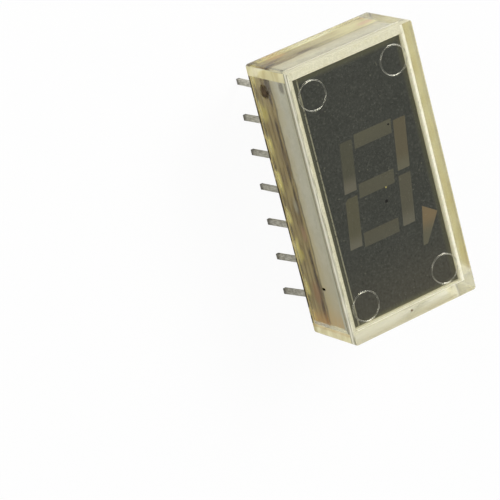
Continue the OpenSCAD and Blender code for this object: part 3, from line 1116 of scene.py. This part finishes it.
# %% Light guide
def guide_plastic():
    material, graph = new_material("guide_plastic")
    spot = graph.spot()
    x, y, z = graph.axes(spot)
    cloud = graph.noise(spot, 1.8 * MM, detail=3.0)
    blotch = graph.noise(spot, 0.55 * MM, detail=3.0)
    mottle = graph.noise(spot, 0.13 * MM, detail=3.0)
    fine = graph.noise(graph.drawn_out(spot), 0.25 * MM, detail=3.0)
    swaying = z + (cloud - 0.5) * (0.8 * MM) + (blotch - 0.5) * (0.9 * MM)
    slanting = (y + z * 2.2 + (cloud - 0.5) * (2.5 * MM)).step(7.0 * MM, -3.5 * MM)
    at_foot = (y + (cloud - 0.5) * (1.0 * MM)).step(-7.0 * MM, -9.0 * MM)
    # painted shadow on the left side near the head
    soft_patch = inside(x, y, z, (-4.3, 8.3, 3.4), (0.5, 0.6, 0.5))
    tone = graph.blend(cloud.step(0.3, 0.7), rgb(196, 194, 182), rgb(204, 201, 188))
    tone = overlaid(
        graph, tone,
        (x.step(-4.0 * MM, -4.2 * MM) * 0.8, (180, 178, 160)),
        # painted light: the head side lighter
        (y.step(8.6 * MM, 8.7 * MM) * 0.7, (222, 217, 186)),
        (fine.step(0.4, 0.8) * 0.4, (150, 146, 132)),
        (blotch.step(0.5, 0.75) * 0.3, (164, 158, 132)),
        (mottle.step(0.45, 0.75) * 0.35, (138, 136, 124)),
        (mottle.step(0.45, 0.2) * 0.35, (216, 215, 200)),
        (swaying.step(3.0 * MM, 2.0 * MM) * 0.5, (176, 162, 116)),
        (slanting * 0.6, (176, 160, 112)),
        (at_foot * (0.35 + fine.step(0.3, 0.7) * 0.35), (196, 152, 72)),
        (soft_patch * 0.9, (112, 106, 92)),
    )
    graph.surface(
        Base_Color=tone, Roughness=0.55, Specular_IOR_Level=0.0, Coat_Weight=1.0, Coat_Roughness=0.12
    )
    return material


dress("light_guide", guide_plastic())
print("light guide dressed")

# %% [markdown]
# ## The board
#
# The board is a cream laminate, browned by flux along the two rows of leads. The distance
# from the middle line, unsettled by noise, says where the flux has reached.

# %% Board
def board_laminate():
    material, graph = new_material("board_laminate")
    spot = graph.spot()
    x = graph.axes(spot)[0]
    blots = graph.noise(spot, 0.9 * MM, detail=4.0)
    along_rows = (x.size() + (blots - 0.5) * (0.9 * MM)).step(3.1 * MM, 3.6 * MM)
    cream = graph.blend(blots.step(0.3, 0.7), rgb(226, 226, 200), rgb(216, 216, 186))
    flux = graph.blend(blots.step(0.35, 0.65), rgb(196, 186, 104), rgb(120, 102, 44))
    graph.surface(Base_Color=graph.blend(along_rows, cream, flux), Roughness=0.6)
    return material


dress("circuit_board", board_laminate())
print("board dressed")

# %% [markdown]
# ## Copper, chips, wires and solder
#
# What is small and hidden gets a plain finish: two tones that drift into each other. The
# tracks are copper, the wires gold, the chips a dull crystal, and the fillets of solder
# under the board are browned by flux.

# %% Copper, chips, wires and solder
copper = two_tones(
    "copper_foil", (196, 124, 84), (168, 96, 60), 0.5 * MM, Metallic=1.0, Roughness=0.35
)
gold = two_tones("bond_gold", (232, 196, 120), (214, 172, 96), 0.1 * MM, Metallic=1.0, Roughness=0.25)
crystal = two_tones(
    "light_crystal", (150, 120, 80), (110, 86, 60), 0.08 * MM, Metallic=1.0, Roughness=0.3
)
solder = two_tones(
    "flux_solder", (96, 76, 34), (140, 122, 70), 0.3 * MM, detail=4.0, Roughness=0.4
)
dress("board_tracks", copper)
dress("bond_wires", gold)
dress("solder_joints", solder)
chips = [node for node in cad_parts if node.startswith("led_chip")]
for node in chips:
    dress(node, crystal)
print("chips", len(chips))

# %% [markdown]
# ## The leads
#
# Each lead is a flat strip cut out by a press and dipped in tin. The solid has the right
# shape but knife sharp edges, and no light catches on those. So its mesh is copied, its loose
# triangles are merged, flat faces dissolved, and a narrow bevel is run round the edges. The
# wide shoulder is stained brown by flux; the pin beyond is dull and darker at its cut tip.

# %% Tinned leads
LEADS = range(1, 15)
LEAD_ROUND = 0.022 * MM
LEAD_MERGE = 0.001 * MM
SHOULDER_END = -0.95 * MM
PIN_TIP = cad_low.z


def tinned():
    """Dull tin, with streaks along the pin, and flux down to where the shoulder ends."""
    material, graph = new_material("tinned_lead")
    spot = graph.spot()
    z = graph.axes(spot)[2]
    cloud = graph.noise(spot, 0.35 * MM, detail=4.0)
    along_pin = graph.node("ShaderNodeMapping", None, Vector=spot, Scale=(1, 1, 0.25))[0]
    streak = graph.noise(along_pin, 0.09 * MM)
    line = z + (cloud - 0.5) * (0.3 * MM)
    stained = line.step(SHOULDER_END - 0.08 * MM, SHOULDER_END + 0.08 * MM)
    tip = (z + (cloud - 0.5) * (0.5 * MM)).step(PIN_TIP + 0.5 * MM, PIN_TIP + 0.1 * MM)
    tin = graph.blend(streak.step(0.3, 0.7), rgb(168, 164, 148), rgb(214, 211, 198))
    worn = cloud.step(0.5, 0.75) * 0.5
    tin = overlaid(graph, tin, (worn, (112, 106, 88)), (tip * 0.75, (84, 80, 66)))
    flux = graph.blend(cloud.step(0.35, 0.65), rgb(104, 82, 36), rgb(70, 52, 18))
    graph.surface(
        Base_Color=graph.blend(stained, tin, flux), Metallic=0.45 - stained * 0.45,
        Roughness=0.38 + cloud * 0.2, Normal=graph.bump(streak, 0.01 * MM),
    )
    return material


def finished_copy(node, name, bevel):
    """A copy of a solid's mesh with merged triangles and rounded edges."""
    made = bpy.data.objects.new(name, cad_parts[node].data.copy())
    bpy.context.collection.objects.link(made)
    select_only(made)
    bpy.ops.object.mode_set(mode="EDIT")
    bpy.ops.mesh.select_all(action="SELECT")
    bpy.ops.mesh.remove_doubles(threshold=LEAD_MERGE)
    bpy.ops.mesh.dissolve_limited(angle_limit=math.radians(2))
    bpy.ops.object.mode_set(mode="OBJECT")
    soft = made.modifiers.new("soft_edges", "BEVEL")
    soft.width, soft.segments, soft.limit_method = bevel, 2, "ANGLE"
    apply_all(made)
    bpy.ops.object.shade_smooth_by_angle(angle=math.radians(35))
    return made


lead_look = tinned()
for number in LEADS:
    lead = finished_copy(f"lead_{number}", f"tinned_lead_{number}", LEAD_ROUND)
    lead.data.materials.clear()
    lead.data.materials.append(lead_look)
    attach(lead, "root")
    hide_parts(f"lead_{number}")
print("lead faces", len(lead.data.polygons))

# %% [markdown]
# ## Resin collars and solder drops
#
# The potting creeps up each shoulder and sets as a sloping collar, browned by flux. A drop of
# solder has stayed on each pin's root, painted white with a dark rim: a painted highlight and
# painted shade. A collar is a stretched cube whose outer end is drawn in and then subdivided;
# a drop is an ico sphere pushed about at random. Both are modelled once and copied to every
# lead.

# %% Shapes of a collar and a drop
COLLAR_FOOT = (1.62 * MM, 0.62 * MM)  # along the row and across it
COLLAR_HEIGHT = 0.17 * MM
COLLAR_ROOT = 0.03 * MM  # how far it goes into the potting
COLLAR_DRAW = (0.76 * 0.7, 0.76, 1)  # how much its outer end is drawn in
COLLAR_ROUND = 0.07 * MM
DROP_SIZE = 0.10 * MM
DROP_STRETCH = (0.7, 1.0, 1.25)


def collar_shape():
    wide, deep = COLLAR_FOOT
    low = (-deep / 2, -wide / 2, -COLLAR_HEIGHT)
    collar = box_piece("collar", low, (deep / 2, wide / 2, POTTING_SINK + COLLAR_ROOT))
    pick(collar, lambda points: top_of(points) < 0, kind="FACE")
    bpy.ops.transform.resize(value=COLLAR_DRAW, center_override=(0, 0, 0))
    bpy.ops.mesh.select_all(action="SELECT")
    bpy.ops.mesh.bevel(offset=COLLAR_ROUND, segments=2, affect="EDGES")
    bpy.ops.mesh.select_all(action="SELECT")
    bpy.ops.mesh.subdivide(number_cuts=2)
    bpy.ops.transform.vertex_random(offset=0.012 * MM, seed=4)
    bpy.ops.object.mode_set(mode="OBJECT")
    bpy.ops.object.shade_smooth()
    return collar


def drop_shape():
    clear_selection()
    bpy.ops.mesh.primitive_ico_sphere_add(subdivisions=3, radius=DROP_SIZE)
    drop = bpy.context.object
    bpy.ops.object.mode_set(mode="EDIT")
    bpy.ops.mesh.select_all(action="SELECT")
    bpy.ops.transform.resize(value=DROP_STRETCH, center_override=(0, 0, 0))
    bpy.ops.transform.vertex_random(offset=0.014 * MM, seed=7)
    bpy.ops.mesh.vertices_smooth(factor=0.4, repeat=1)
    bpy.ops.object.mode_set(mode="OBJECT")
    bpy.ops.object.shade_smooth()
    return drop


one_collar, one_drop = collar_shape(), drop_shape()
print("collar faces", len(one_collar.data.polygons), "drop faces", len(one_drop.data.polygons))

# %% [markdown]
# ### A collar and a drop for every lead
#
# The leads are numbered down the left row and up the right one, as on any such part. Each
# copy has its own mesh, moved to its place. Every second collar is turned round, and the
# drops differ in turn, size and place, so that no two neighbours look alike.

# %% Collars and drops in place
ROW_X = 3.75 * MM  # from the middle line to each row of leads
LEADS_IN_ROW = 7
MIDDLE_LEFT, MIDDLE_RIGHT = 4, 11  # the numbers of the leads half way up each row
DROP_BESIDE = 0.2 * MM  # from the middle of the shoulder towards the head
DROP_BESIDE_STEP = 0.02 * MM
DROP_OVER_END = 0.12 * MM  # how far it sits above the shoulder's end
DROP_TURN = 37  # from one drop to the next, in degrees


def copy_to(shape, name, place, turn=0.0, scale=1.0):
    """A copy of a shape with its own mesh, its place and turn in the mesh."""
    made = bpy.data.objects.new(name, shape.data.copy())
    turned = Matrix.Rotation(turn, 4, "Z") @ Matrix.Scale(scale, 4)
    made.data.transform(Matrix.Translation(place) @ turned)
    bpy.context.collection.objects.link(made)
    return made


def lead_root(number):
    """The place of a lead on the back of the part."""
    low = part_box(f"lead_{number}")[0]
    side = 1 if low.x > 0 else -1
    steps = MIDDLE_LEFT - number if number <= LEADS_IN_ROW else number - MIDDLE_RIGHT
    return Vector((side * ROW_X, steps * LEAD_PITCH, 0))


collar_look = two_tones(
    "flux_resin", (176, 160, 88), (98, 78, 30), 0.3 * MM, detail=4.0,
    Roughness=0.3, Coat_Weight=0.4, Coat_Roughness=0.1,
)
# painted highlight and painted shade on the solder drops
drop_look_painted_highlight = two_tones(
    "solder_drop", (226, 224, 216), (46, 36, 22), 0.12 * MM, detail=2.0, run=(0.42, 0.56),
    Metallic=0.6, Roughness=0.35,
)
for number in LEADS:
    root = lead_root(number)
    collar = copy_to(one_collar, f"collar_{number}", root, turn=math.radians(180 * (number % 2)))
    collar.data.materials.append(collar_look)
    beside = DROP_BESIDE + DROP_BESIDE_STEP * (number % 3)
    drop = copy_to(
        one_drop, f"solder_drop_{number}", root + Vector((0, beside, SHOULDER_END + DROP_OVER_END)),
        turn=math.radians(DROP_TURN * number), scale=0.85 + 0.06 * (number % 4),
    )
    drop.data.materials.append(drop_look_painted_highlight)
    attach(collar, "root")
    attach(drop, "root")
delete_pieces(one_collar, one_drop)
print("collars and drops", len(LEADS))

# %% [markdown]
# ## The key dot
#
# The key dot is a touch of dark paint on the outside of the left wall, worn away round its
# edge. The distance from the dot's middle gives the edge, and noise frays it.

# %% Key dot
key_low, key_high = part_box("key_mark")
key_middle = (key_low + key_high) / 2
key_reach = (key_high.y - key_low.y) / 2


def key_paint():
    material, graph = new_material("key_paint")
    spot = graph.spot()
    y, z = graph.axes(spot)[1:]
    cloud = graph.noise(spot, 0.25 * MM, detail=3.0)
    tone = graph.blend(cloud.step(0.3, 0.7), rgb(56, 42, 26), rgb(90, 72, 48))
    across, up = y - key_middle.y, z - key_middle.z
    away = (across * across + up * up).root() + (cloud - 0.5) * (0.4 * MM)
    worn = away.step(key_reach * 0.95, key_reach * 0.35)
    graph.surface(Base_Color=tone, Roughness=0.7, Specular_IOR_Level=0.2, Alpha=worn)
    return material


dress("key_mark", key_paint())
print("key dot", round(key_reach * 2 / MM, 2), "mm across")

# %% [markdown]
# ## Specks
#
# A used part is never clean. A few dark and pale specks lie on the mask, on the left wall
# and at the foot. A speck is an ico sphere, flattened and pushed about at random with a fixed
# seed, and a table says where each lies and how big it is.

# %% Specks
def speck_shape(name, radii, seed):
    """A rough crumb with half sizes in mm."""
    clear_selection()
    bpy.ops.mesh.primitive_ico_sphere_add(subdivisions=2, radius=1.0)
    speck = bpy.context.object
    speck.name = name
    bpy.ops.object.mode_set(mode="EDIT")
    bpy.ops.mesh.select_all(action="SELECT")
    bpy.ops.transform.vertex_random(offset=0.28, seed=seed)
    bpy.ops.mesh.vertices_smooth(factor=0.3, repeat=1)
    bpy.ops.transform.resize(value=[r * MM for r in radii], center_override=(0, 0, 0))
    bpy.ops.object.mode_set(mode="OBJECT")
    bpy.ops.object.shade_smooth()
    return speck


def speck_look(name, first, second):
    """The finish of dirt and dust, as dull as can be."""
    return two_tones(
        name, first, second, 0.05 * MM, detail=2.0, Roughness=0.8, Specular_IOR_Level=0.0
    )


def settle(piece, look):
    """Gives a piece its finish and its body."""
    piece.data.materials.clear()
    piece.data.materials.append(look)
    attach(piece, "root")


MASK_TOP = mask_high.z / MM
DARK = speck_look("dark_speck", (2, 2, 2), (14, 11, 8))
BROWN = speck_look("brown_speck", (74, 46, 22), (110, 76, 42))
YELLOW = speck_look("yellow_speck", (196, 186, 120), (150, 140, 84))
PALE = speck_look("pale_dust", (124, 124, 115), (86, 86, 80))
# name, place and half sizes in mm, slot, look
SPECKS = (
    ("mask_speck", (0.41, -1.53, MASK_TOP), (0.14, 0.12, 0.03), "face_mask", DARK),
    ("segment_speck", (1.91, 3.32, MASK_TOP), (0.07, 0.08, 0.02), "diffuser", DARK),
    ("yellow_speck", (0.62, -0.64, MASK_TOP), (0.075, 0.065, 0.02), "face_mask", YELLOW),
    ("wall_speck", (-5.008, -5.9, 2.72), (0.016, 0.11, 0.2), "case", DARK),
    ("foot_speck", (-0.24, -8.99, 4.98), (0.09, 0.08, 0.013), "case", BROWN),
    ("ring_speck", (-2.39, 7.71, MASK_TOP), (0.07, 0.03, 0.015), "face_mask", PALE),
    ("ring_streak", (2.11, 7.46, MASK_TOP), (0.03, 0.16, 0.015), "face_mask", PALE),
)
for seed, (name, place, radii, slot, look) in enumerate(SPECKS):
    speck = speck_shape(name, radii, seed)
    speck.data.transform(Matrix.Translation(Vector(place) * MM))
    settle(speck, look)
print("specks", len(SPECKS))

# %% [markdown]
# ## Dust on the mask
#
# Pale dust is strewn over the mask. The grains are copies of one crumb, joined to one piece.
# Their places, sizes and turns are drawn with a fixed seed, so that the dust is the same each
# time, and most grains are small, as in real dust.

# %% Dust
DUST_GRAINS = 150
DUST_SEED = 11
DUST_REACH = 0.96  # how far it lies towards the mask's edge
dice = random.Random(DUST_SEED)
grain = speck_shape("grain", (0.045, 0.035, 0.010), DUST_SEED)
grains = []
for number in range(DUST_GRAINS):
    x = dice.uniform(-DUST_REACH, DUST_REACH) * mask_high.x
    y = dice.uniform(-DUST_REACH, DUST_REACH) * mask_high.y
    size = 0.45 + 0.75 * dice.random() ** 2
    turn = dice.uniform(0, math.tau)
    grains.append(copy_to(grain, f"grain_{number}", Vector((x, y, mask_high.z)), turn=turn, scale=size))
dust = join_into(*grains)
dust.name = "mask_dust"
settle(dust, PALE)
delete_pieces(grain)
print("dust grains", DUST_GRAINS)
